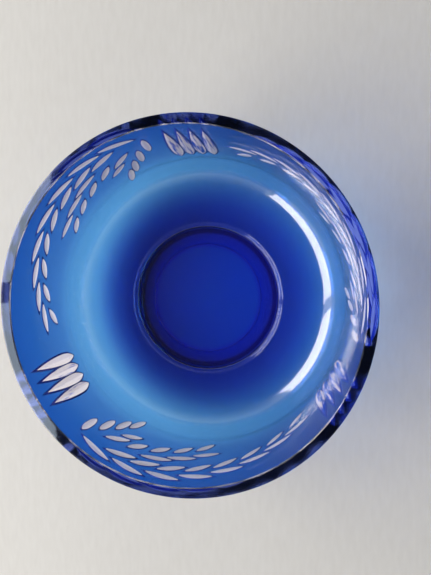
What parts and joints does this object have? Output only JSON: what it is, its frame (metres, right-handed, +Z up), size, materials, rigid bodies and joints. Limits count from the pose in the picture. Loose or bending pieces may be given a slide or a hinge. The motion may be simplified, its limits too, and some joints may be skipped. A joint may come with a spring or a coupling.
{
  "type": "art glass bowl",
  "caption": "Deep straight-sided round bowl of clear glass cased in cobalt, with a flat ground rim, a low foot, and leaf sprays and mitre cuts cut through to clear.",
  "frame": {"origin": "centre of the flat ring that the bowl stands on", "axes": "+Z up along the bowl's turning axis, from the foot to the rim"},
  "size_m": [0.21, 0.21, 0.1],
  "materials": {
    "clear_glass": "polished inside and on the ground rim, frosted in the wheel cuts",
    "cobalt_wall": "fire-polished cobalt casing, cut through to clear",
    "cobalt_foot": "polished cobalt casing, ground flat where the bowl stands"
  },
  "bodies": {
    "root": {"clear_glass_body": "clear_glass", "cobalt_wall_casing": "cobalt_wall", "cobalt_foot_casing": "cobalt_foot"}
  },
  "joints": []
}
